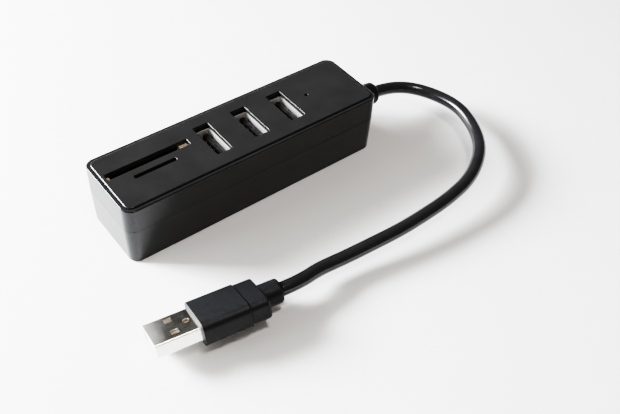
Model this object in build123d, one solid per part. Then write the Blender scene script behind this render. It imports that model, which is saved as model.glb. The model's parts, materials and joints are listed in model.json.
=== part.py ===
"""Three-port USB hub with an SD and a microSD card reader, on a short lead with a USB-A plug.

Frame: origin at the middle of the underside of the housing, +X along the housing towards the
cable exit, +Y across it towards the card-reader side, +Z up through the ports. Millimetres.
"""
from build123d import *
import math
import os

# ---- housing -------------------------------------------------------------------------------
LENGTH = 96.0            # housing along X, at the parting line and above
WIDTH = 27.0             # housing along Y
RIM_Z = 22.3             # top of the rim round the plate
PLATE_TOP_Z = 22.7       # the top plate stands proud of the rim
PARTING_Z = 13.7         # where the two shells meet
DRAFT = 0.4              # how far the lower shell draws in at the table
WALL = 1.6
CORNER_R = 3.5           # plan radius of the vertical corners
TOP_EDGE_R = 0.4         # round on the rim's outer edge
FOOT_EDGE_R = 0.5        # round on the underside's edge
SEAM = 0.12              # open shadow line between the shells
LIP = 0.7                # thickness of the locating lip inside the seam
LIP_RISE = 1.1

# ---- top plate -----------------------------------------------------------------------------
RIM = 1.1                # rim of the upper shell left showing round the plate
GROOVE = 0.25            # gap between rim and plate
PLATE_THICK = 1.6
PLATE_EDGE_R = 0.4
OPENING_EDGE_R = 0.15
DECK_THICK = 1.4         # the upper shell's deck under the plate
PLATE_BOTTOM_Z = PLATE_TOP_Z - PLATE_THICK
DECK_BOTTOM_Z = PLATE_BOTTOM_Z - DECK_THICK

# ---- openings in the top -------------------------------------------------------------------
PORT_X = [-9.7, 4.6, 18.9]
PORT_Y = 0.25
PORT_SLOT = (5.5, 14.5)
SD_X, SD_Y = -31.0, 3.2
SD_SLOT = (28.7, 2.7)
MICRO_X, MICRO_Y = -31.0, -1.4
MICRO_SLOT = (14.5, 1.3)
LED_X, LED_Y = 28.1, 0.7
LED_HOLE_D = 1.2

# ---- circuit boards ------------------------------------------------------------------------
PCB_THICK = 1.6
PCB_TOP_Z = 7.2
PCB_BOTTOM_Z = PCB_TOP_Z - PCB_THICK
PCB_HALF_W = 11.4
PCB_RIGHT_X = 44.0
PCB_LEFT_X = -45.4
PCB_STEP_X = -14.2       # left of this the main board is only half as wide
READER_Y = (-0.05, 1.15)  # faces of the upright reader board
READER_X = (-46.0, -15.2)
READER_Z = (2.0, 19.4)
BOSS_D = 4.4
SCREW_D = 2.0
SCREW_PLACES = [(-10.5, -9.2), (-10.5, 9.2), (33.5, -9.2), (33.5, 9.2)]

# ---- USB-A receptacle, standing upright ------------------------------------------------------
JACK_INNER = (5.12, 12.5)
JACK_SKIN = 0.3
JACK_RIM_Z = PLATE_BOTTOM_Z - 0.1
TONGUE = (1.84, 11.1)
TONGUE_GAP = 0.75        # between the tongue and the +X wall of the shell
TONGUE_TIP_Z = JACK_RIM_Z - 1.05
JACK_BASE_Z = PCB_TOP_Z + 4.6
PIN_Y = [-3.5, -1.0, 1.0, 3.5]

# ---- card sockets ----------------------------------------------------------------------------
SOCKET_TOP_Z = PLATE_BOTTOM_Z - 0.1
SD_CARD_GAP = (24.3, 2.3)      # clear width and thickness for an SD card
SD_CARD_X = -31.75             # the card sits a little towards the end of the housing
SD_OUTER = (-45.9, -16.1)
SD_BOTTOM_Z = 2.6
MICRO_CARD_GAP = (11.3, 0.9)
MICRO_OUTER_W = 14.6
MICRO_BOTTOM_Z = 10.0

# ---- cable -----------------------------------------------------------------------------------
CABLE_D = 4.5
EXIT_Z = 11.1
BOOT_D = 8.0
BOOT_BEND_R = 18.0       # the boot droops a little under the cable's weight
BOOT_END_R = 1.3
NECK_D = 6.0             # the relief where the two shells clamp it
WIRE_D = 1.1
WIRE_Y = {"wire_red": -2.1, "wire_white": -0.7, "wire_green": 0.7, "wire_black": 2.1}

# ---- plug ------------------------------------------------------------------------------------
PLUG_TIP = (-59.7, -43.96)     # where the mouth of the plug lies on the table plane
PLUG_YAW = -9.5                # degrees from +X, tip to cable
PLUG_PITCH = 1.0               # the cable end lies a little higher
PLUG_ROLL = -21.0              # the twist of the cable turns its near side up
SHELL_W, SHELL_H, SHELL_SKIN = 12.0, 4.5, 0.3
SHELL_OUT = 13.4               # bare length of the metal shell
SHELL_IN = 4.6                 # length held inside the overmould
GRIP_W, GRIP_H, GRIP_R = 15.8, 8.0, 2.6
WAIST_AT, WAIST = 28.0, 0.4    # behind this the grip is a little slimmer all round
GRIP_END = 33.9                # from the tip
NECK_END = 39.8
PLUG_NECK_D = 7.5
WINDOW = (2.3, 2.3)
WINDOW_A, WINDOW_B = 6.7, 3.1  # from the tip, and to each side
DIMPLE_A, DIMPLE_D = 11.0, 2.0

# Corner points of the cable's route, from the end of the strain relief to the plug's neck. The
# last two are worked out from the plug's pose.
CABLE_ROUTE = [
    (58.77, 0.0, 10.49), (65.33, 0.0, 9.76), (74, -3.5, 8.5), (79.5, -12, 8), (81, -22, 8.5),
    (78, -32, 8.5), (73, -40.5, 8.5), (66, -46.5, 8.5), (57, -51, 8), (46, -53, 7.5),
    (35, -53.5, 7), (24, -53.5, 6.5), (13, -52.5, 6), (3, -51.5, 5.5), (-6, -50.5, 5.5),
]
NECK_RUN = 6.6                 # straight run of cable out of the plug's neck

CLEAR = 0.05                   # assembly clearance between pieces that don't touch


def block(x0, x1, y0, y1, z0, z1):
    """A plain box between two corners."""
    size = (x1 - x0, y1 - y0, z1 - z0)
    return Pos((x0 + x1) / 2, (y0 + y1) / 2, (z0 + z1) / 2) * Box(*size)


def slab(length, width, radius, z0, z1, at=(0, 0)):
    """A plate with rounded plan corners between two heights."""
    outline = Pos(at[0], at[1], z0) * RectangleRounded(length, width, radius)
    return extrude(outline, z1 - z0)


def rod(x, y, z0, z1, diameter):
    """An upright cylinder."""
    return Pos(x, y, (z0 + z1) / 2) * Cylinder(diameter / 2, z1 - z0)


def shaft_x(x0, x1, diameter, y=0.0, z=EXIT_Z):
    """A cylinder along X."""
    return Pos((x0 + x1) / 2, y, z) * Rot(0, 90, 0) * Cylinder(diameter / 2, x1 - x0)


def rounded_top(solid, radius):
    """Round the edges of the highest face that lie on its outer outline."""
    top = solid.faces().sort_by(Axis.Z)[-1]
    return fillet(top.outer_wire().edges(), radius)


# ---- the two shells --------------------------------------------------------------------------
def drafted_body():
    """The lower shell's outer form, drawn in towards the table."""
    height = PARTING_Z - SEAM
    taper = math.degrees(math.atan(DRAFT / height))
    outline = Pos(0, 0, height) * RectangleRounded(LENGTH, WIDTH, CORNER_R)
    return extrude(outline, height, dir=(0, 0, -1), taper=taper)


def cable_gate():
    """The hole that the shells close round the neck of the strain relief."""
    return shaft_x(LENGTH / 2 - 3 * WALL, LENGTH / 2 + WALL, NECK_D)


def lower_shell():
    shell = drafted_body()
    foot = shell.faces().sort_by(Axis.Z)[0]
    shell = fillet(foot.outer_wire().edges(), FOOT_EDGE_R)
    inner = (LENGTH - 2 * WALL, WIDTH - 2 * WALL, CORNER_R - WALL)
    lip_outline = (inner[0] + 2 * LIP, inner[1] + 2 * LIP, inner[2] + LIP)
    shell += slab(*lip_outline, PARTING_Z / 2, PARTING_Z + LIP_RISE)
    shell -= slab(*inner, WALL, PARTING_Z + LIP_RISE + 1)
    for x, y in SCREW_PLACES:
        shell += rod(x, y, WALL - 0.2, PCB_BOTTOM_Z, BOSS_D)
        shell -= rod(x, y, WALL + 0.6, PCB_BOTTOM_Z + 1, SCREW_D)
    for x in (-44.3, -17.2):
        shell += reader_rest(x)
    return shell - cable_gate()


def reader_rest(x):
    """A forked post that holds the upright reader board by its lower edge."""
    low, high = READER_Y[0] - 1.0, READER_Y[1] - CLEAR
    post = block(x - 0.8, x + 0.8, low, high, WALL - 0.2, 5.2)
    groove = block(x - 1, x + 1, READER_Y[0] - CLEAR, READER_Y[1] + 1, READER_Z[0], 6)
    return post - groove


def upper_shell():
    outer = slab(LENGTH, WIDTH, CORNER_R, PARTING_Z, RIM_Z)
    shell = rounded_top(outer, TOP_EDGE_R)
    recess = RIM + CLEAR
    shell -= slab(LENGTH - 2 * recess, WIDTH - 2 * recess, CORNER_R - RIM, PLATE_BOTTOM_Z, RIM_Z + 1)
    inner = (LENGTH - 2 * WALL, WIDTH - 2 * WALL, CORNER_R - WALL)
    shell -= slab(*inner, PARTING_Z - 1, DECK_BOTTOM_Z)
    rebate = LIP + CLEAR
    shell -= slab(inner[0] + 2 * rebate, inner[1] + 2 * rebate, inner[2] + rebate,
                  PARTING_Z - 1, PARTING_Z + LIP_RISE)
    return shell - deck_openings() - plate_peg_holes() - cable_gate()


def deck_openings():
    """Holes in the deck for the receptacles, the card sockets and the light."""
    cut = block(SD_OUTER[0] - 0.1, SD_OUTER[1] + 0.1, -2.4, 5.5, DECK_BOTTOM_Z - 1, PLATE_BOTTOM_Z + 1)
    for x in PORT_X:
        cut += slab(JACK_INNER[0] + 2 * JACK_SKIN + 0.3, PORT_SLOT[1], 0.4,
                    DECK_BOTTOM_Z - 1, PLATE_BOTTOM_Z + 1, (x, PORT_Y))
    return cut + rod(LED_X, LED_Y, DECK_BOTTOM_Z - 1, PLATE_BOTTOM_Z + 1, 3.3)


PEG_PLACES = [(x, y) for x in (-13.7, 36.0) for y in (-10.2, 10.2)]
PEG_D = 1.5


def plate_peg_holes():
    cut = Part()
    for x, y in PEG_PLACES:
        cut += rod(x, y, DECK_BOTTOM_Z - 1, PLATE_BOTTOM_Z + 1, PEG_D + 2 * CLEAR)
    return cut


def top_plate():
    edge = RIM + GROOVE
    blank = slab(LENGTH - 2 * edge, WIDTH - 2 * edge, CORNER_R - edge, PLATE_BOTTOM_Z, PLATE_TOP_Z)
    plate = rounded_top(blank, PLATE_EDGE_R)
    for x in PORT_X:
        plate -= slab(*PORT_SLOT, 0.35, PLATE_BOTTOM_Z - 1, PLATE_TOP_Z + 1, (x, PORT_Y))
    plate -= slab(*SD_SLOT, 0.25, PLATE_BOTTOM_Z - 1, PLATE_TOP_Z + 1, (SD_X, SD_Y))
    plate -= slab(*MICRO_SLOT, 0.25, PLATE_BOTTOM_Z - 1, PLATE_TOP_Z + 1, (MICRO_X, MICRO_Y))
    plate -= rod(LED_X, LED_Y, PLATE_BOTTOM_Z - 1, PLATE_TOP_Z + 1, LED_HOLE_D)
    top = plate.faces().sort_by(Axis.Z)[-1]
    plate = fillet([edge for wire in top.inner_wires() for edge in wire.edges()], OPENING_EDGE_R)
    for x, y in PEG_PLACES:
        plate += rod(x, y, DECK_BOTTOM_Z, PLATE_BOTTOM_Z + 0.2, PEG_D)
    return plate


# ---- boards and what is on them --------------------------------------------------------------
def main_board():
    board = block(PCB_STEP_X, PCB_RIGHT_X, -PCB_HALF_W, PCB_HALF_W, PCB_BOTTOM_Z, PCB_TOP_Z)
    board += block(PCB_LEFT_X, PCB_STEP_X, -PCB_HALF_W, READER_Y[0] - 0.2, PCB_BOTTOM_Z, PCB_TOP_Z)
    for x, y in SCREW_PLACES:
        board -= rod(x, y, PCB_BOTTOM_Z - 1, PCB_TOP_Z + 1, SCREW_D + 0.4)
    for x in PORT_X:
        for y in PIN_Y:
            board -= rod(x, PORT_Y + y, PCB_BOTTOM_Z - 1, PCB_TOP_Z + 1, 1.0)
        for leg in jack_leg_places(x):
            board -= block(leg[0] - 0.3, leg[0] + 0.3, leg[1] - 0.8, leg[1] + 0.8,
                           PCB_BOTTOM_Z - 1, PCB_TOP_Z + 1)
    for x in header_places():
        board -= rod(x, HEADER_Y, PCB_BOTTOM_Z - 1, PCB_TOP_Z + 1, 0.9)
    for x in led_lead_places():
        board -= rod(x, LED_Y, PCB_BOTTOM_Z - 1, PCB_TOP_Z + 1, 0.8)
    return board


def reader_board():
    return block(READER_X[0], READER_X[1], READER_Y[0], READER_Y[1], READER_Z[0], READER_Z[1])


def board_screws():
    """Four pan-head self-tapping screws, their shanks in the bosses."""
    screws = []
    for x, y in SCREW_PLACES:
        head = rod(x, y, PCB_TOP_Z, PCB_TOP_Z + 1.3, 3.6)
        head = fillet(head.edges().sort_by(Axis.Z)[-1], 0.5)
        head -= block(x - 1.2, x + 1.2, y - 0.22, y + 0.22, PCB_TOP_Z + 0.7, PCB_TOP_Z + 2)
        head -= block(x - 0.22, x + 0.22, y - 1.2, y + 1.2, PCB_TOP_Z + 0.7, PCB_TOP_Z + 2)
        screws.append(head + rod(x, y, WALL + 0.8, PCB_TOP_Z, SCREW_D - 2 * CLEAR))
    return Compound(screws)


HEADER_Y = -1.5
HEADER_Z = 8.3


def header_places():
    return [MICRO_X + 2.0 * (i - 3.5) for i in range(8)]


def header_strip():
    first, last = header_places()[0], header_places()[-1]
    strip = block(first - 1.0, last + 1.0, HEADER_Y - 1.0, -0.3, PCB_TOP_Z, PCB_TOP_Z + 2.2)
    for x in header_places():
        strip -= block(x - 0.25, x + 0.25, HEADER_Y - 0.25, HEADER_Y + 0.25, PCB_TOP_Z - 1, HEADER_Z + 0.25)
        strip -= block(x - 0.25, x + 0.25, HEADER_Y, 0.1, HEADER_Z - 0.25, HEADER_Z + 0.25)
    return strip


def header_pins():
    """Right-angle pins between the two boards."""
    pins = []
    for x in header_places():
        pin = block(x - 0.25, x + 0.25, HEADER_Y - 0.25, HEADER_Y + 0.25,
                    PCB_BOTTOM_Z - 1.2, HEADER_Z + 0.25)
        pin += block(x - 0.25, x + 0.25, HEADER_Y - 0.25, READER_Y[0], HEADER_Z - 0.25, HEADER_Z + 0.25)
        pins.append(pin)
    return Compound(pins)


def chip(x, y, length, width, height):
    """A moulded chip package with a pin-one dimple."""
    z0 = PCB_TOP_Z + 0.1
    body = block(x - length / 2, x + length / 2, y - width / 2, y + width / 2, z0, z0 + height)
    body = chamfer(body.faces().sort_by(Axis.Z)[-1].edges(), 0.15)
    return body - rod(x - length / 2 + 0.9, y - width / 2 + 0.9, z0 + height - 0.1, z0 + height + 1, 0.8)


def gull_leads(x, y, length, width, count, z_body):
    """Two rows of leads along the long sides of a chip."""
    leads = []
    pitch = (length - 1.2) / (count - 1)
    for side in (-1, 1):
        inner, outer = y + side * width / 2, y + side * (width / 2 + 1.0)
        knee = y + side * (width / 2 + 0.4)
        for i in range(count):
            at = x - (length - 1.2) / 2 + i * pitch
            half = min(0.15, pitch * 0.3)
            arm = block(at - half, at + half, *sorted((inner, knee)), z_body, z_body + 0.18)
            drop = block(at - half, at + half, *sorted((knee - side * 0.18, knee)),
                         PCB_TOP_Z, z_body + 0.18)
            foot = block(at - half, at + half, *sorted((knee - side * 0.18, outer)),
                         PCB_TOP_Z, PCB_TOP_Z + 0.18)
            leads.append(arm + drop + foot)
    return Compound(leads)


HUB_CHIP = (-30.5, -7.2, 10.2, 5.3)
READER_CHIP = (27.6, -5.6, 7.4, 5.3)
CHIP_HEIGHT = 1.6


def crystal():
    body = slab(10.6, 4.2, 2.05, PCB_TOP_Z, PCB_TOP_Z + 3.3, (-18.4, -8.6))
    return rounded_top(body, 0.5)


def bulk_capacitors():
    """One moulded tantalum capacitor beside each port."""
    return Compound([block(x + 4.1, x + 5.7, 7.0, 10.2, PCB_TOP_Z, PCB_TOP_Z + 1.7) for x in PORT_X])


def chip_parts(places, length, width, height):
    """Small two-terminal parts, each a separate solid."""
    return Compound([block(x - length / 2, x + length / 2, y - width / 2, y + width / 2,
                           PCB_TOP_Z, PCB_TOP_Z + height) for x, y in places])


def chip_capacitors():
    places = [(-38.8, -5.0 - 1.6 * i) for i in range(4)] + [(27.2, 4.0 + 1.6 * i) for i in range(4)]
    return chip_parts(places, 1.6, 0.8, 0.8)


def chip_resistors():
    places = [(36.4, -4.0 + 1.5 * i) for i in range(6)] + [(-21.5 + 2.4 * i, -4.9) for i in range(3)]
    return chip_parts(places, 1.6, 0.8, 0.45)


LED_TOP_Z = 19.4


def status_led():
    base_z = LED_TOP_Z - 5.3
    body = rod(LED_X, LED_Y, base_z, LED_TOP_Z, 3.0)
    body = fillet(body.edges().sort_by(Axis.Z)[-1], 1.4)
    return body + rod(LED_X, LED_Y, base_z, base_z + 1.0, 3.8)


def led_lead_places():
    return [LED_X - 1.27, LED_X + 1.27]


def led_leads():
    base_z = LED_TOP_Z - 5.3
    return Compound([block(x - 0.25, x + 0.25, LED_Y - 0.25, LED_Y + 0.25, PCB_BOTTOM_Z - 1.2, base_z)
                     for x in led_lead_places()])


# ---- USB-A receptacles -----------------------------------------------------------------------
def jack_leg_places(x):
    half_x = JACK_INNER[0] / 2 + JACK_SKIN / 2
    return [(x + sx * half_x, PORT_Y + sy * 4.4) for sx in (-1, 1) for sy in (-1, 1)]


def jack_shell(x):
    """The formed metal shell: a square tube with lead-in, latch springs' slots and four legs."""
    outer = (JACK_INNER[0] + 2 * JACK_SKIN, JACK_INNER[1] + 2 * JACK_SKIN)
    shell = slab(*outer, 0.6, PCB_TOP_Z, JACK_RIM_Z, (x, PORT_Y))
    shell -= slab(*JACK_INNER, 0.35, PCB_TOP_Z - 1, JACK_RIM_Z + 1, (x, PORT_Y))
    for side in (-1, 1):
        for y in (-2.9, 2.9):
            wall = x + side * (outer[0] / 2 - JACK_SKIN / 2)
            for edge in (-1.05, 1.05):
                middle = PORT_Y + y + edge
                shell -= block(wall - 0.4, wall + 0.4, middle - 0.15, middle + 0.15, 12.6, 18.0)
            shell -= block(wall - 0.4, wall + 0.4, PORT_Y + y - 1.2, PORT_Y + y + 1.2, 12.3, 12.6)
    for leg_x, leg_y in jack_leg_places(x):
        shell += block(leg_x - JACK_SKIN / 2, leg_x + JACK_SKIN / 2, leg_y - 0.6, leg_y + 0.6,
                       PCB_BOTTOM_Z - 1.4, PCB_TOP_Z + 0.5)
    return shell


def tongue_x(x):
    """The tongue's two faces: the contacts lie on its -X one."""
    high = x + JACK_INNER[0] / 2 - TONGUE_GAP
    return high - TONGUE[0], high


def jack_insulator(x):
    low, high = tongue_x(x)
    half_x, half_y = JACK_INNER[0] / 2, JACK_INNER[1] / 2
    body = block(x - half_x + 0.1, x + half_x - 0.1, PORT_Y - half_y + 0.15, PORT_Y + half_y - 0.15,
                 PCB_TOP_Z, JACK_BASE_Z)
    tongue = block(low, high, PORT_Y - TONGUE[1] / 2, PORT_Y + TONGUE[1] / 2, JACK_BASE_Z, TONGUE_TIP_Z)
    tongue = chamfer(tongue.faces().sort_by(Axis.Z)[-1].edges().filter_by(Axis.Y), 0.4)
    body += tongue
    for y in PIN_Y:
        body -= block(low - 3, low + 0.25, PORT_Y + y - 0.5, PORT_Y + y + 0.5,
                      PCB_TOP_Z - 1, TONGUE_TIP_Z - 0.9)
    return body


def jack_contacts(x):
    """Four sprung contacts set in grooves of the tongue, with tails through the board."""
    x0, x1 = tongue_x(x)[0] - 0.05, tongue_x(x)[0] + 0.25
    contacts = []
    for y in PIN_Y:
        middle = PORT_Y + y
        blade = block(x0, x1, middle - 0.5, middle + 0.5, PCB_TOP_Z + 0.4, TONGUE_TIP_Z - 0.9)
        tail = block(x0, x1, middle - 0.3, middle + 0.3, PCB_BOTTOM_Z - 1.2, PCB_TOP_Z + 0.4)
        contacts.append(blade + tail)
    return Compound(contacts)


# ---- card sockets ----------------------------------------------------------------------------
def sd_base():
    """Back wall, bottom stop and two thick sides, open towards the cover."""
    y0, y1 = READER_Y[1], READER_Y[1] + 0.9
    y_card, y_front = y1 + SD_CARD_GAP[1], 5.3
    base = block(SD_OUTER[0], SD_OUTER[1], y0, y1, SD_BOTTOM_Z, SOCKET_TOP_Z - 1.6)
    base += block(SD_OUTER[0], SD_OUTER[1], y0, y_card, SD_BOTTOM_Z, SD_BOTTOM_Z + 1.2)
    for side in (-1, 1):
        wall = SD_CARD_X + side * SD_CARD_GAP[0] / 2
        end = SD_OUTER[0] if side < 0 else SD_OUTER[1]
        base += block(*sorted((wall, end)), y0, y_front, SD_BOTTOM_Z, SOCKET_TOP_Z)
    return base


def sd_cover():
    """The stamped front plate, with three windows."""
    y0 = READER_Y[1] + 0.9 + SD_CARD_GAP[1]
    x0, x1 = SD_CARD_X - SD_CARD_GAP[0] / 2, SD_CARD_X + SD_CARD_GAP[0] / 2
    cover = block(x0, x1, y0, y0 + 0.25, SD_BOTTOM_Z, 17.5)
    for x in (SD_CARD_X - 6.5, SD_CARD_X, SD_CARD_X + 6.5):
        cover -= block(x - 1.3, x + 1.3, y0 - 1, y0 + 1, 7.0, 13.0)
    return cover


def sd_contacts():
    """Nine contact springs along the back wall of the SD socket."""
    y0 = READER_Y[1] + 0.9
    strips = []
    for i in range(9):
        x = SD_CARD_X - 10.0 + 2.5 * i
        strips.append(block(x - 0.5, x + 0.5, y0, y0 + 0.2, SD_BOTTOM_Z + 1.2, 9.4))
    return Compound(strips)


def micro_base():
    y0, y1 = READER_Y[0] - 0.9, READER_Y[0]
    half = MICRO_OUTER_W / 2
    base = block(MICRO_X - half, MICRO_X + half, y0, y1, MICRO_BOTTOM_Z, SOCKET_TOP_Z)
    base += block(MICRO_X - half, MICRO_X + half, y0 - MICRO_CARD_GAP[1], y1,
                  MICRO_BOTTOM_Z, MICRO_BOTTOM_Z + 0.8)
    for side in (-1, 1):
        wall = MICRO_X + side * MICRO_CARD_GAP[0] / 2
        end = MICRO_X + side * half
        base += block(*sorted((wall, end)), y0 - MICRO_CARD_GAP[1], y1, MICRO_BOTTOM_Z, SOCKET_TOP_Z)
    return base


def micro_cover():
    y1 = READER_Y[0] - 0.9 - MICRO_CARD_GAP[1]
    half = MICRO_OUTER_W / 2
    cover = block(MICRO_X - half, MICRO_X + half, y1 - 0.25, y1, MICRO_BOTTOM_Z, SOCKET_TOP_Z - 1.0)
    for x in (MICRO_X - 3.2, MICRO_X + 3.2):
        cover -= block(x - 0.9, x + 0.9, y1 - 1, y1 + 1, 12.5, 16.5)
    return cover


def micro_contacts():
    """Eight contact springs along the back wall of the microSD socket."""
    y0 = READER_Y[0] - 0.9
    return Compound([block(MICRO_X - 3.85 + 1.1 * i - 0.35, MICRO_X - 3.85 + 1.1 * i + 0.35, y0 - 0.15, y0,
                           MICRO_BOTTOM_Z + 0.8, 15.0) for i in range(8)])


# ---- cable, strain relief and wires ------------------------------------------------------------
def strain_relief():
    """Inner flange, clamped neck and the outer boot, which droops to meet the cable."""
    end_x = LENGTH / 2
    relief = shaft_x(end_x - WALL - 1.6, end_x - WALL - 0.3, BOOT_D)
    relief += shaft_x(end_x - WALL - 0.5, end_x + 0.3, NECK_D - 2 * CLEAR)
    (x0, _, z0), (x1, _, z1) = CABLE_ROUTE[:2]
    knee_x = x0 - (EXIT_Z - z0) * (x1 - x0) / (z0 - z1)
    boot = bent_tube([(end_x, 0, EXIT_Z), (knee_x, 0, EXIT_Z), CABLE_ROUTE[0]], BOOT_BEND_R, BOOT_D)[0]
    return relief + fillet(boot.edges().sort_by(Axis.X)[-1], BOOT_END_R)


def bent_tube(points, radii, diameter):
    """Straight runs joined by tangent arcs, swept with a round section."""
    path = FilletPolyline(*points, radius=radii)
    section = Plane(origin=path @ 0, z_dir=path % 0) * Circle(diameter / 2)
    return sweep(section, path=path), path.length


def wire(y):
    """One conductor, from the strain relief down to its pad on the board."""
    start_x = LENGTH / 2 - WALL - 1.6
    points = [(start_x, y, EXIT_Z), (start_x - 3.6, y, EXIT_Z), (start_x - 3.6, y, PCB_TOP_Z)]
    return bent_tube(points, 1.9, WIRE_D)[0]


def corner_radii(points):
    """As large an arc at each corner as 0.45 of its shorter run allows."""
    radii = []
    for before, here, after in zip(points, points[1:], points[2:]):
        run_in, run_out = Vector(*here) - Vector(*before), Vector(*after) - Vector(*here)
        half_turn = math.radians(run_in.get_angle(run_out)) / 2
        radii.append(0.45 * min(run_in.length, run_out.length) / math.tan(half_turn))
    return radii


def hub_cable():
    neck = plug_point(NECK_END)
    points = CABLE_ROUTE + [plug_point(NECK_END + NECK_RUN), neck]
    radii = corner_radii(points)
    tube, length = bent_tube(points, radii, CABLE_D)
    expected = math.pi * CABLE_D ** 2 / 4 * length
    print("cable corners mm:", [tuple(round(v, 2) for v in p) for p in points[-2:]])
    print("cable radii mm:", [round(r, 1) for r in radii])
    print(f"cable length {length:.1f} mm, volume {tube.volume:.1f}, section x length {expected:.1f}")
    return tube


# ---- plug --------------------------------------------------------------------------------------
def plug_height():
    """Height of the plug's axis at the front of the grip, where its lower edge rests on the table."""
    roll = math.radians(abs(PLUG_ROLL))
    across = (GRIP_W / 2 - GRIP_R) * math.sin(roll)
    return across + (GRIP_H / 2 - GRIP_R) * math.cos(roll) + GRIP_R


def plug_place():
    """Plug frame: X from the tip to the cable, Y across the plug, Z out of its upper face."""
    rise = math.sin(math.radians(PLUG_PITCH)) * SHELL_OUT
    turn = Rot(0, 0, PLUG_YAW) * Rot(0, -PLUG_PITCH, 0) * Rot(PLUG_ROLL, 0, 0)
    return Pos(PLUG_TIP[0], PLUG_TIP[1], plug_height() - rise + 0.02) * turn


def plug_point(along):
    """A point on the plug's axis, in the hub's frame."""
    place = plug_place() * Pos(along, 0, 0)
    return tuple(round(v, 3) for v in place.position)


def plug_shell():
    length = SHELL_OUT + SHELL_IN
    centre = Pos(length / 2, 0, 0)
    shell = centre * Box(length, SHELL_W, SHELL_H)
    shell = fillet(shell.edges().filter_by(Axis.X), 0.55)
    bore = Pos(length / 2, 0, 0) * Box(length + 2, SHELL_W - 2 * SHELL_SKIN, SHELL_H - 2 * SHELL_SKIN)
    bore = fillet(bore.edges().filter_by(Axis.X), 0.3)
    shell -= bore
    for side in (-1, 1):
        shell -= Pos(WINDOW_A, side * WINDOW_B, 0) * Box(*WINDOW, SHELL_H + 2)
    return shell - Pos(DIMPLE_A, 0, SHELL_H / 2) * Cylinder(DIMPLE_D / 2, 1.0)


def plug_insulator():
    """The white tongue carrier on the lower side of the shell."""
    low = -SHELL_H / 2 + SHELL_SKIN + CLEAR
    width = SHELL_W - 2 * SHELL_SKIN - 4 * CLEAR
    length = SHELL_OUT + SHELL_IN - 0.4
    body = Pos(0.4 + length / 2, 0, low + 0.9) * Box(length, width, 1.8)
    height = SHELL_H - 2 * SHELL_SKIN - 2 * CLEAR
    body += Pos(SHELL_OUT + 0.4 + (SHELL_IN - 0.4) / 2, 0, 0) * Box(SHELL_IN - 0.4, width, height)
    body = chamfer(body.edges().filter_by(Axis.X).group_by(Axis.Z)[0], 0.25)
    for y in PLUG_PIN_Y:
        body -= Pos(1.2 + 6.0, y, low + 1.8) * Box(12.0, 1.1, 0.5)
    return body


PLUG_PIN_Y = [-3.5, -1.0, 1.0, 3.5]


def plug_contacts():
    low = -SHELL_H / 2 + SHELL_SKIN + CLEAR
    return Compound([Pos(1.2 + 6.0, y, low + 1.65) * Box(12.0, 1.0, 0.2) for y in PLUG_PIN_Y])


def plug_overmould():
    """Grip with a slimmer rear part and a round neck."""
    section = Plane.YZ.offset(SHELL_OUT) * RectangleRounded(GRIP_W, GRIP_H, GRIP_R)
    front = extrude(section, WAIST_AT - SHELL_OUT)
    front = chamfer(front.faces().sort_by(Axis.X)[-1].outer_wire().edges(), WAIST - 0.05)
    slim = RectangleRounded(GRIP_W - 2 * WAIST, GRIP_H - 2 * WAIST, GRIP_R - WAIST)
    rear = extrude(Plane.YZ.offset(WAIST_AT - 1) * slim, GRIP_END - WAIST_AT + 1)
    rear = fillet(rear.faces().sort_by(Axis.X)[-1].outer_wire().edges(), 0.8)
    grip = front + rear
    neck = Pos((GRIP_END - 0.3 + NECK_END) / 2, 0, 0) * Rot(0, 90, 0) * Cylinder(
        PLUG_NECK_D / 2, NECK_END - GRIP_END + 0.3)
    neck = fillet(neck.edges().sort_by(Axis.X)[-1], 0.8)
    pocket = Pos(SHELL_OUT + SHELL_IN / 2, 0, 0) * Box(SHELL_IN, SHELL_W, SHELL_H)
    pocket = fillet(pocket.edges().filter_by(Axis.X), 0.55)
    return grip + neck - pocket


# ---- writing the nodes ---------------------------------------------------------------------------
def all_nodes():
    chip_z = PCB_TOP_Z + 0.1 + CHIP_HEIGHT / 2
    nodes = {
        "lower_shell": lower_shell(),
        "upper_shell": upper_shell(),
        "top_plate": top_plate(),
        "main_circuit_board": main_board(),
        "board_screws": board_screws(),
        "reader_circuit_board": reader_board(),
        "reader_header_strip": header_strip(),
        "reader_header_pins": header_pins(),
        "hub_controller": chip(*HUB_CHIP, CHIP_HEIGHT),
        "hub_controller_leads": gull_leads(*HUB_CHIP, 14, chip_z),
        "reader_controller": chip(*READER_CHIP, CHIP_HEIGHT),
        "reader_controller_leads": gull_leads(*READER_CHIP, 10, chip_z),
        "crystal": crystal(),
        "bulk_capacitors": bulk_capacitors(),
        "chip_capacitors": chip_capacitors(),
        "chip_resistors": chip_resistors(),
        "status_led": status_led(),
        "status_led_leads": led_leads(),
        "sd_socket_base": sd_base(),
        "sd_socket_cover": sd_cover(),
        "sd_socket_contacts": sd_contacts(),
        "microsd_socket_base": micro_base(),
        "microsd_socket_cover": micro_cover(),
        "microsd_socket_contacts": micro_contacts(),
        "strain_relief": strain_relief(),
        "hub_cable": hub_cable(),
    }
    for number, x in enumerate(PORT_X, 1):
        nodes[f"usb_port_shell_{number}"] = jack_shell(x)
        nodes[f"usb_port_insulator_{number}"] = jack_insulator(x)
        nodes[f"usb_port_contacts_{number}"] = jack_contacts(x)
    for name, y in WIRE_Y.items():
        nodes[name] = wire(y)
    place = plug_place()
    plug = {"plug_shell": plug_shell(), "plug_insulator": plug_insulator(),
            "plug_contacts": plug_contacts(), "plug_overmould": plug_overmould()}
    nodes.update({name: place * piece for name, piece in plug.items()})
    return nodes


os.makedirs("parts", exist_ok=True)
for name, shape in all_nodes().items():
    export_step(shape, f"parts/{name}.step")
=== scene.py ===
"""USB hub with card reader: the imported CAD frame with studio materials, light and camera."""
import json
import math

import bmesh
import bpy
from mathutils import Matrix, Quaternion, Vector


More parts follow.
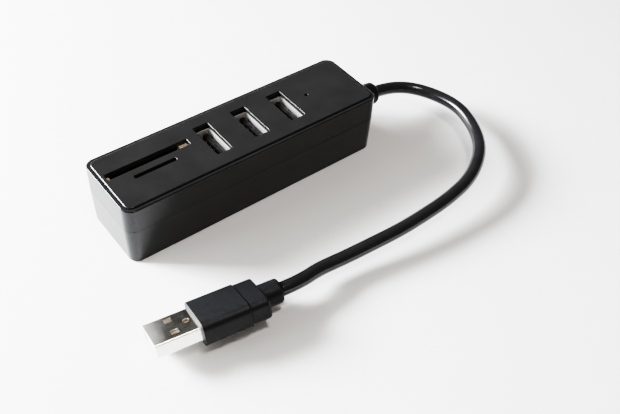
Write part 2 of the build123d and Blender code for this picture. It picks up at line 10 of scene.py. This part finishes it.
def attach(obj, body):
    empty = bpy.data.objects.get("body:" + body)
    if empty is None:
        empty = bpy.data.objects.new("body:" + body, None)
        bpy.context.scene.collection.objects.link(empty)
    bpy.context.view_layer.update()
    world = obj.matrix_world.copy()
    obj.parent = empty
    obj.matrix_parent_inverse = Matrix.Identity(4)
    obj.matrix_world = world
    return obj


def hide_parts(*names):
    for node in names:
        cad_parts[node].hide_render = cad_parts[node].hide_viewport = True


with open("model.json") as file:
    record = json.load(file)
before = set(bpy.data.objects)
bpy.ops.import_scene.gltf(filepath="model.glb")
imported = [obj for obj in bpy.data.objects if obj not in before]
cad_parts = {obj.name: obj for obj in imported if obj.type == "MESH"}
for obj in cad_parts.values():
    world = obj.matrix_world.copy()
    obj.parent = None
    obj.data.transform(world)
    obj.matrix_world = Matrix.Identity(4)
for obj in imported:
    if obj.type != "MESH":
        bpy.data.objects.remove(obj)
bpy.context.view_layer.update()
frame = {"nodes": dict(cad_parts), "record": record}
nodes = frame["nodes"]
scene = bpy.context.scene
MM = 0.001


def mm(*values):
    """A point given in millimetres, in metres."""
    return Vector(values) * MM


# ---- camera ----------------------------------------------------------------------------------
def add_camera():
    """The camera, solved for the view of the housing from its near left corner."""
    data = bpy.data.cameras.new("camera")
    data.sensor_fit = "HORIZONTAL"
    data.sensor_width = 36.0
    data.lens = 48.47
    data.clip_start, data.clip_end = 0.01, 50.0
    camera = bpy.data.objects.new("camera", data)
    scene.collection.objects.link(camera)
    look = Vector((0.4549, 0.5267, -0.7181))
    roll = Quaternion((0, 0, 1), math.radians(4.04))
    camera.rotation_mode = "QUATERNION"
    camera.rotation_quaternion = look.to_track_quat("-Z", "Y") @ roll
    camera.location = mm(-113.79, -169.50, 197.52)
    scene.camera = camera


add_camera()

# ---- cable -----------------------------------------------------------------------------------
CABLE_D = 4.5
WELD_DISTANCE = 1e-6           # metres: joins the end caps to the tube
CABLE_ROUTE = [
    (58.77, 0.0, 10.49), (65.33, 0.0, 9.76), (74, -3.5, 8.5), (79.5, -12, 8), (81, -22, 8.5),
    (78, -32, 8.5), (73, -40.5, 8.5), (66, -46.5, 8.5), (57, -51, 8), (46, -53, 7.5),
    (35, -53.5, 7), (24, -53.5, 6.5), (13, -52.5, 6), (3, -51.5, 5.5), (-6, -50.5, 5.5),
    (-13.94, -51.62, 6.40), (-20.45, -50.53, 6.29),
]


def add_cable():
    """The jacket as a smooth tube along the route, and the line that it follows."""
    curve = bpy.data.curves.new("cable_line", "CURVE")
    curve.dimensions = "3D"
    curve.resolution_u = 14
    curve.use_fill_caps = True
    spline = curve.splines.new("NURBS")
    spline.points.add(len(CABLE_ROUTE) - 1)
    for point, place in zip(spline.points, CABLE_ROUTE):
        point.co = (*mm(*place), 1.0)
    spline.order_u = 3
    spline.use_endpoint_u = True
    source = bpy.data.objects.new("cable_line", curve)
    line = bpy.data.meshes.new_from_object(source)
    path = [vertex.co.copy() for vertex in line.vertices]
    curve.bevel_depth = CABLE_D / 2 * MM
    curve.bevel_resolution = 10
    tube = bpy.data.meshes.new_from_object(source)
    tube.name = "cable_jacket"
    bpy.data.objects.remove(source)
    bpy.data.meshes.remove(line)
    welded = bmesh.new()
    welded.from_mesh(tube)
    bmesh.ops.remove_doubles(welded, verts=welded.verts, dist=WELD_DISTANCE)
    bmesh.ops.recalc_face_normals(welded, faces=welded.faces)
    welded.to_mesh(tube)
    welded.free()
    for face in tube.polygons:
        face.use_smooth = len(face.vertices) == 4
    cable = bpy.data.objects.new("cable_jacket", tube)
    scene.collection.objects.link(cable)
    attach(cable, "root")
    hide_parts("hub_cable")
    return cable, path


cable, cable_path = add_cable()


# ---- materials -------------------------------------------------------------------------------
class Build:
    """A node material under construction: links a Principled shader with procedural detail."""

    def __init__(self, name):
        self.material = bpy.data.materials.new(name)
        self.material.use_nodes = True
        self.tree = self.material.node_tree
        self.shader = self.tree.nodes["Principled BSDF"]
        self.where = self.add("ShaderNodeTexCoord").outputs["Object"]

    def add(self, kind, **settings):
        node = self.tree.nodes.new(kind)
        for key, value in settings.items():
            setattr(node, key, value)
        return node

    def link(self, source, target):
        self.tree.links.new(source, target)

    def set(self, **values):
        for key, value in values.items():
            self.shader.inputs[key.replace("_", " ")].default_value = value

    def noise(self, scale, detail=3.0, roughness=0.5, stretch=None):
        """Noise over the object's own place, scale in features per metre."""
        node = self.add("ShaderNodeTexNoise")
        node.inputs["Scale"].default_value = scale
        node.inputs["Detail"].default_value = detail
        node.inputs["Roughness"].default_value = roughness
        where = self.where
        if stretch:
            mapping = self.add("ShaderNodeMapping")
            mapping.inputs["Scale"].default_value = stretch
            self.link(where, mapping.inputs["Vector"])
            where = mapping.outputs["Vector"]
        self.link(where, node.inputs["Vector"])
        return node.outputs["Fac"]

    def spread(self, value, low, high, start=0.35, end=0.65):
        """A value brought from start..end to low..high."""
        node = self.add("ShaderNodeMapRange")
        node.inputs["From Min"].default_value = start
        node.inputs["From Max"].default_value = end
        node.inputs["To Min"].default_value = low
        node.inputs["To Max"].default_value = high
        self.link(value, node.inputs["Value"])
        return node.outputs["Result"]

    def colours(self, value, *stops):
        """A colour ramp from (position, colour) stops."""
        node = self.add("ShaderNodeValToRGB")
        ramp = node.color_ramp
        for i, (position, colour) in enumerate(stops):
            stop = ramp.elements[i] if i < 2 else ramp.elements.new(position)
            stop.position, stop.color = position, (*colour, 1)
        self.link(value, node.inputs["Fac"])
        return node.outputs["Color"]

    def bump(self, height, strength, distance_mm):
        node = self.add("ShaderNodeBump")
        node.inputs["Strength"].default_value = strength
        node.inputs["Distance"].default_value = distance_mm * MM
        self.link(height, node.inputs["Height"])
        return node.outputs["Normal"]


def gloss_plastic():
    """Polished black housing: faint orange peel, dust-fine variation in gloss."""
    b = Build("gloss_black_housing")
    b.set(IOR=1.32)
    b.link(b.colours(b.noise(90, 4), (0.3, (0.0085, 0.0085, 0.0090)),
                     (0.7, (0.0115, 0.0115, 0.0122))),
           b.shader.inputs["Base Color"])
    b.link(b.spread(b.noise(260, 5, 0.6), 0.09, 0.15), b.shader.inputs["Roughness"])
    b.link(b.bump(b.noise(420, 3), 0.05, 0.03), b.shader.inputs["Normal"])
    return b.material


def plate_plastic():
    """Satin top plate with a very fine moulded grain."""
    b = Build("satin_black_plate")
    b.set(IOR=1.38)
    b.link(b.colours(b.noise(120, 5), (0.3, (0.0085, 0.0086, 0.0088)),
                     (0.7, (0.0115, 0.0114, 0.0116))),
           b.shader.inputs["Base Color"])
    b.link(b.spread(b.noise(900, 4, 0.6), 0.20, 0.27), b.shader.inputs["Roughness"])
    b.link(b.bump(b.noise(5200, 2), 0.08, 0.01), b.shader.inputs["Normal"])
    return b.material


def grip_plastic():
    """Soft matte overmoulding with a fine leathery grain."""
    b = Build("matte_black_grip")
    b.set(IOR=1.33)
    b.link(b.colours(b.noise(700, 5, 0.6), (0.3, (0.0018, 0.0020, 0.0026)),
                     (0.7, (0.0030, 0.0033, 0.0042))),
           b.shader.inputs["Base Color"])
    b.link(b.spread(b.noise(1500, 4, 0.6), 0.42, 0.56), b.shader.inputs["Roughness"])
    b.link(b.bump(b.noise(3800, 3, 0.6), 0.25, 0.03), b.shader.inputs["Normal"])
    return b.material


def jacket_pvc():
    """Glossy black cable jacket, slightly uneven along its length."""
    b = Build("cable_jacket_pvc")
    b.set(IOR=1.5)
    b.link(b.colours(b.noise(150, 4), (0.3, (0.0050, 0.0050, 0.0058)),
                     (0.7, (0.0080, 0.0080, 0.0090))),
           b.shader.inputs["Base Color"])
    b.link(b.spread(b.noise(500, 4, 0.6), 0.17, 0.24), b.shader.inputs["Roughness"])
    b.link(b.bump(b.noise(260, 3), 0.06, 0.03), b.shader.inputs["Normal"])
    return b.material


def plated(name, colour, dark, rough, stretch, grain=0.1, metallic=1.0):
    """Plated or stamped sheet metal with drawn grain and handling smudges."""
    b = Build(name)
    b.set(Metallic=metallic)
    b.link(b.colours(b.noise(160, 5, 0.6), (0.25, dark), (0.75, colour)),
           b.shader.inputs["Base Color"])
    b.link(b.spread(b.noise(420, 5, 0.65), rough * 0.9, rough * 1.15), b.shader.inputs["Roughness"])
    b.link(b.bump(b.noise(1400, 3, 0.6, stretch), grain, 0.02), b.shader.inputs["Normal"])
    return b.material


def moulded(name, colour, rough=0.45, variation=0.15, grain=1800, bump=0.15, ior=1.5):
    """Moulded nylon or epoxy: slightly mottled, with a fine surface."""
    b = Build(name)
    b.set(IOR=ior)
    dark = tuple(c * (1 - variation) for c in colour)
    light = tuple(min(1.0, c * (1 + variation)) for c in colour)
    b.link(b.colours(b.noise(grain / 5, 5, 0.6), (0.3, dark), (0.7, light)),
           b.shader.inputs["Base Color"])
    b.link(b.spread(b.noise(grain / 3, 4, 0.6), rough * 0.8, rough * 1.2),
           b.shader.inputs["Roughness"])
    b.link(b.bump(b.noise(grain, 3), bump, 0.03), b.shader.inputs["Normal"])
    return b.material


def board_laminate():
    """Green solder mask with the weave and traces just showing."""
    b = Build("circuit_board_green")
    b.set(IOR=1.5, Coat_Weight=0.4, Coat_Roughness=0.15)
    weave = b.add("ShaderNodeTexBrick")
    weave.inputs["Scale"].default_value = 420
    weave.inputs["Color1"].default_value = (0.008, 0.085, 0.035, 1)
    weave.inputs["Color2"].default_value = (0.010, 0.105, 0.042, 1)
    weave.inputs["Mortar"].default_value = (0.02, 0.16, 0.07, 1)
    weave.inputs["Mortar Size"].default_value = 0.03
    b.link(b.where, weave.inputs["Vector"])
    b.link(weave.outputs["Color"], b.shader.inputs["Base Color"])
    b.link(b.spread(b.noise(800), 0.25, 0.4), b.shader.inputs["Roughness"])
    b.link(b.bump(weave.outputs["Fac"], 0.2, 0.03), b.shader.inputs["Normal"])
    return b.material


def led_epoxy():
    """Clear diffused lens, unlit."""
    b = Build("led_lens_epoxy")
    b.set(IOR=1.5, Transmission_Weight=0.6)
    b.link(b.colours(b.noise(900), (0.3, (0.75, 0.8, 0.85)), (0.7, (0.85, 0.88, 0.92))),
           b.shader.inputs["Base Color"])
    b.link(b.spread(b.noise(1200), 0.15, 0.3), b.shader.inputs["Roughness"])
    return b.material


MATERIALS = {
    "shell_gloss": gloss_plastic(),
    "plate_satin": plate_plastic(),
    "grip_matte": grip_plastic(),
    "cord_jacket": jacket_pvc(),
    "nickel": plated("nickel_plated_shell", (0.80, 0.775, 0.735), (0.72, 0.695, 0.655),
                     0.20, (1, 1, 0.08), grain=0.03),
    "port_nickel": plated("port_shell_nickel", (0.86, 0.84, 0.81), (0.80, 0.78, 0.75),
                          0.38, (1, 1, 0.1), grain=0.02, metallic=0.8),
    "stamped_steel": plated("stamped_steel", (0.66, 0.65, 0.63), (0.50, 0.49, 0.47),
                            0.3, (0.1, 1, 1)),
    "contact_gold": plated("gold_flash_contacts", (0.95, 0.72, 0.34), (0.80, 0.58, 0.25),
                           0.18, (1, 1, 0.1)),
    "tinned": plated("tinned_metal", (0.78, 0.78, 0.77), (0.6, 0.6, 0.6), 0.35, (1, 1, 1)),
    "black_nylon": moulded("black_nylon", (0.004, 0.004, 0.0042), 0.6, bump=0.05, ior=1.25),
    "white_nylon": moulded("white_nylon", (0.70, 0.70, 0.67), 0.4, 0.06),
    "ivory_nylon": moulded("ivory_nylon", (0.52, 0.44, 0.32), 0.45, 0.08),
    "board_green": board_laminate(),
    "chip_epoxy": moulded("chip_epoxy", (0.018, 0.018, 0.019), 0.6, 0.2, 6000),
    "tantalum": moulded("tantalum_moulding", (0.62, 0.30, 0.03), 0.4, 0.1),
    "ceramic_tan": moulded("chip_ceramic", (0.34, 0.24, 0.15), 0.45, 0.15, 4000),
    "led_epoxy": led_epoxy(),
    "wire_red": moulded("wire_insulation_red", (0.45, 0.015, 0.012), 0.35, 0.08),
    "wire_white": moulded("wire_insulation_white", (0.75, 0.75, 0.72), 0.35, 0.05),
    "wire_green": moulded("wire_insulation_green", (0.015, 0.25, 0.05), 0.35, 0.08),
    "wire_black": moulded("wire_insulation_black", (0.012, 0.012, 0.012), 0.35, 0.1),
}
SLOT_OF = {part["node"]: part["material_slot"] for part in frame["record"]["subparts"]}
LOOK_OF = {f"usb_port_shell_{i}": "port_nickel" for i in (1, 2, 3)}
for name, piece in nodes.items():
    piece.data.materials.clear()
    piece.data.materials.append(MATERIALS[LOOK_OF.get(name, SLOT_OF[name])])
cable.data.materials.append(MATERIALS["cord_jacket"])


# ---- stage and light -------------------------------------------------------------------------
MIX_FACTOR, MIX_A, MIX_B = 0, 6, 7     # the Mix node's sockets when it mixes colours
MIX_RESULT = 2


def add_table():
    """A pale table with painted light falloff, darker to the right, and painted shade well in front
    of the object.
    """
    mesh = bpy.data.meshes.new("table_top")
    half = 3.0
    mesh.from_pydata([(-half, -half, 0), (half, -half, 0), (half, half, 0), (-half, half, 0)],
                     [], [(0, 1, 2, 3)])
    table = bpy.data.objects.new("table_top", mesh)
    scene.collection.objects.link(table)
    b = Build("white_table")
    # Painted light falloff: the table colour runs from lighter on the left to darker on the right.
    painted_falloff_mix = b.add("ShaderNodeMix", data_type="RGBA")
    place = b.add("ShaderNodeSeparateXYZ")
    b.link(b.where, place.inputs["Vector"])
    b.link(b.spread(place.outputs["X"], 0, 1, -0.15, 0.2), painted_falloff_mix.inputs[MIX_FACTOR])
    b.link(b.colours(b.noise(14, 3), (0.3, (0.86, 0.86, 0.865)), (0.7, (0.88, 0.88, 0.885))),
           painted_falloff_mix.inputs[MIX_A])
    b.link(b.colours(b.noise(9, 3), (0.3, (0.71, 0.705, 0.715)), (0.7, (0.73, 0.725, 0.735))),
           painted_falloff_mix.inputs[MIX_B])
    # Painted shade: the table colour is multiplied down to dark well in front of the object, in
    # place of shaded floor.
    painted_front_shade = b.add("ShaderNodeMix", data_type="RGBA", blend_type="MULTIPLY")
    painted_front_shade.inputs[MIX_FACTOR].default_value = 1.0
    b.link(painted_falloff_mix.outputs[MIX_RESULT], painted_front_shade.inputs[MIX_A])
    b.link(b.colours(b.spread(place.outputs["Y"], 0, 1, -0.32, -0.13),
                     (0.0, (0.12, 0.115, 0.11)), (1.0, (1, 1, 1))),
           painted_front_shade.inputs[MIX_B])
    b.link(painted_front_shade.outputs[MIX_RESULT], b.shader.inputs["Base Color"])
    b.link(b.spread(b.noise(60), 0.5, 0.6), b.shader.inputs["Roughness"])
    mesh.materials.append(b.material)


add_table()


def add_softbox(name, place_mm, aim_mm, size_mm, watts, colour):
    """A rectangular light; its place, aim and size are in millimetres."""
    light = bpy.data.lights.new(name, "AREA")
    light.shape = "RECTANGLE"
    light.size, light.size_y = size_mm[0] * MM, size_mm[1] * MM
    light.energy = watts
    light.color = colour
    lamp = bpy.data.objects.new(name, light)
    lamp.location = mm(*place_mm)
    lamp.rotation_mode = "QUATERNION"
    lamp.rotation_quaternion = (mm(*aim_mm) - lamp.location).to_track_quat("-Z", "Y")
    scene.collection.objects.link(lamp)


KEY_AIM = (20, -20, 0)


def around(azimuth, elevation, distance):
    """A place seen from KEY_AIM in that direction, in millimetres."""
    a, e = math.radians(azimuth), math.radians(elevation)
    return (KEY_AIM[0] + distance * math.cos(e) * math.cos(a),
            KEY_AIM[1] + distance * math.cos(e) * math.sin(a), distance * math.sin(e))


COOL, WARM = (0.96, 0.98, 1.0), (1.0, 0.96, 0.91)
add_softbox("window_near", around(138, 24, 600), KEY_AIM, (170, 170), 17.0, COOL)
add_softbox("window_far", around(122, 24, 1200), KEY_AIM, (420, 420), 38.0, COOL)
add_softbox("ceiling", around(-100, 74, 600), KEY_AIM, (80, 80), 1.3, WARM)
add_softbox("window_spill", (-420, 150, 260), (-240, 90, 0), (200, 200), 1.0, COOL)

world = bpy.data.worlds.new("studio")
scene.world = world
world.use_nodes = True
room = world.node_tree.nodes["Background"]
room.inputs["Color"].default_value = (1.0, 0.935, 0.845, 1)
room.inputs["Strength"].default_value = 0.27

scene.view_settings.view_transform = "Filmic"
scene.view_settings.look = "High Contrast"
scene.view_settings.exposure = 0.0
scene.view_settings.gamma = 1.0

bpy.context.view_layer.update()
